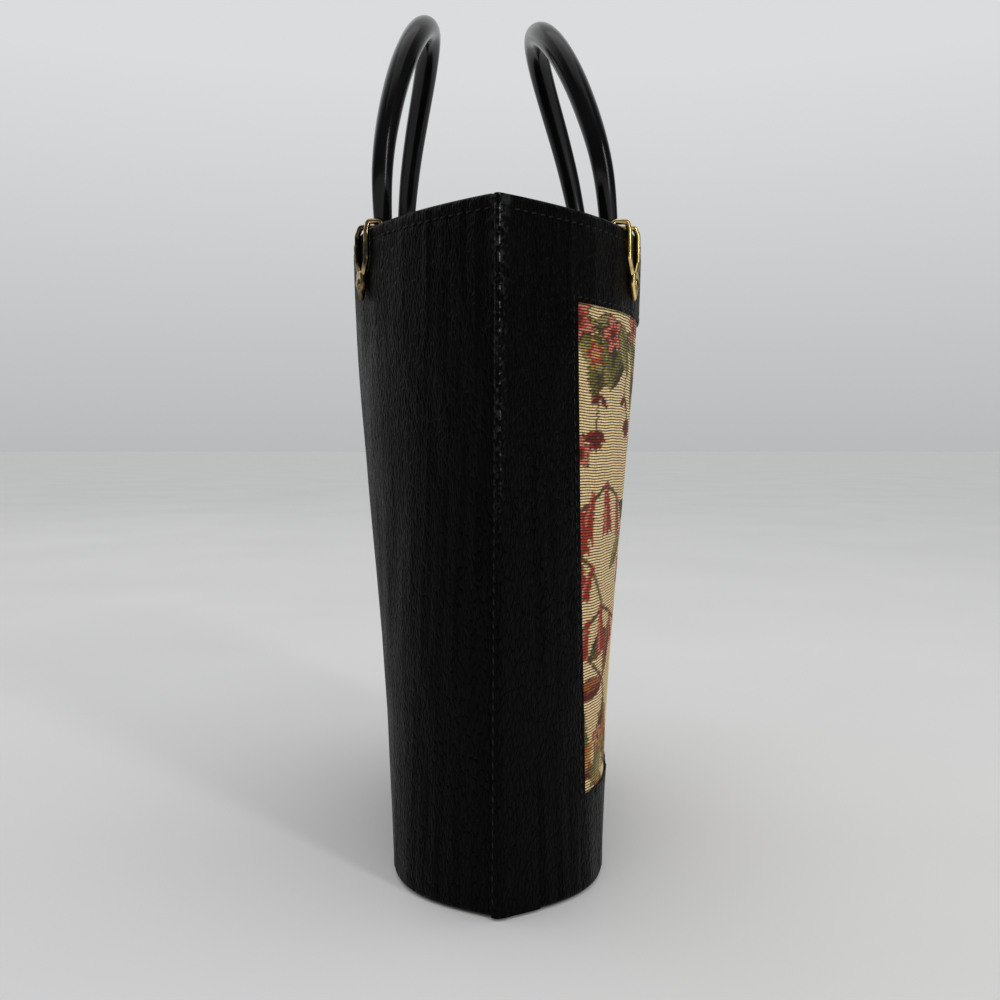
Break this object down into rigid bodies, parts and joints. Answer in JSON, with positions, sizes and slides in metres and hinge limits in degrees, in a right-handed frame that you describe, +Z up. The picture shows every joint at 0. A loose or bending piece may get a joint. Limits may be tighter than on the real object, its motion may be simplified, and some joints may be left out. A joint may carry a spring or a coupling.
{
  "type": "handbag",
  "caption": "Tall open tote handbag in black vinyl with a woven tapestry window, two rigid arched handles and brass hook clips.",
  "frame": {"origin": "centre of the base, on the ground", "axes": "+Z up, X along the bag's length between its pointed ends, Y across its thickness, the tapestry faces -Y"},
  "size_m": [0.2622, 0.1464, 0.4186],
  "materials": {
    "black_vinyl": "grained vinyl with a soft sheen",
    "tapestry": "ribbed tapestry cloth, cream with flowers and leaves",
    "board": "stiff fibre board",
    "lining": "plain cotton",
    "handle_plastic": "moulded, glossy black",
    "bright_brass": "polished gold tone",
    "dark_brass": "tarnished gold tone",
    "steel": "plain steel"
  },
  "bodies": {
    "bag": {"front_panel": "black_vinyl", "back_panel": "black_vinyl", "base_panel": "black_vinyl", "tapestry_panel": "tapestry", "front_board": "board", "back_board": "board", "base_board": "board", "front_lining": "lining", "back_lining": "lining", "base_lining": "lining", "front_left_clip": "bright_brass", "front_left_clip_rivet": "bright_brass", "front_left_rivet_washer": "steel", "front_left_handle_pin": "steel", "front_right_clip": "bright_brass", "front_right_clip_rivet": "bright_brass", "front_right_rivet_washer": "steel", "front_right_handle_pin": "steel", "back_left_clip": "dark_brass", "back_left_clip_rivet": "dark_brass", "back_left_rivet_washer": "steel", "back_left_handle_pin": "steel", "back_right_clip": "dark_brass", "back_right_clip_rivet": "dark_brass", "back_right_rivet_washer": "steel", "back_right_handle_pin": "steel"},
    "front_handle": {"front_handle": "handle_plastic"},
    "back_handle": {"back_handle": "handle_plastic"}
  },
  "joints": [
    {"name": "front_handle_swing", "type": "hinge", "parent": "bag", "child": "front_handle", "pos_m": [0, -0.05247, 0.295], "axis": [-1, 0, 0], "range_deg": [-12.5, 6.8]},
    {"name": "back_handle_swing", "type": "hinge", "parent": "bag", "child": "back_handle", "pos_m": [0, 0.0533, 0.295], "axis": [1, 0, 0], "range_deg": [-4.2, 14.3]}
  ]
}
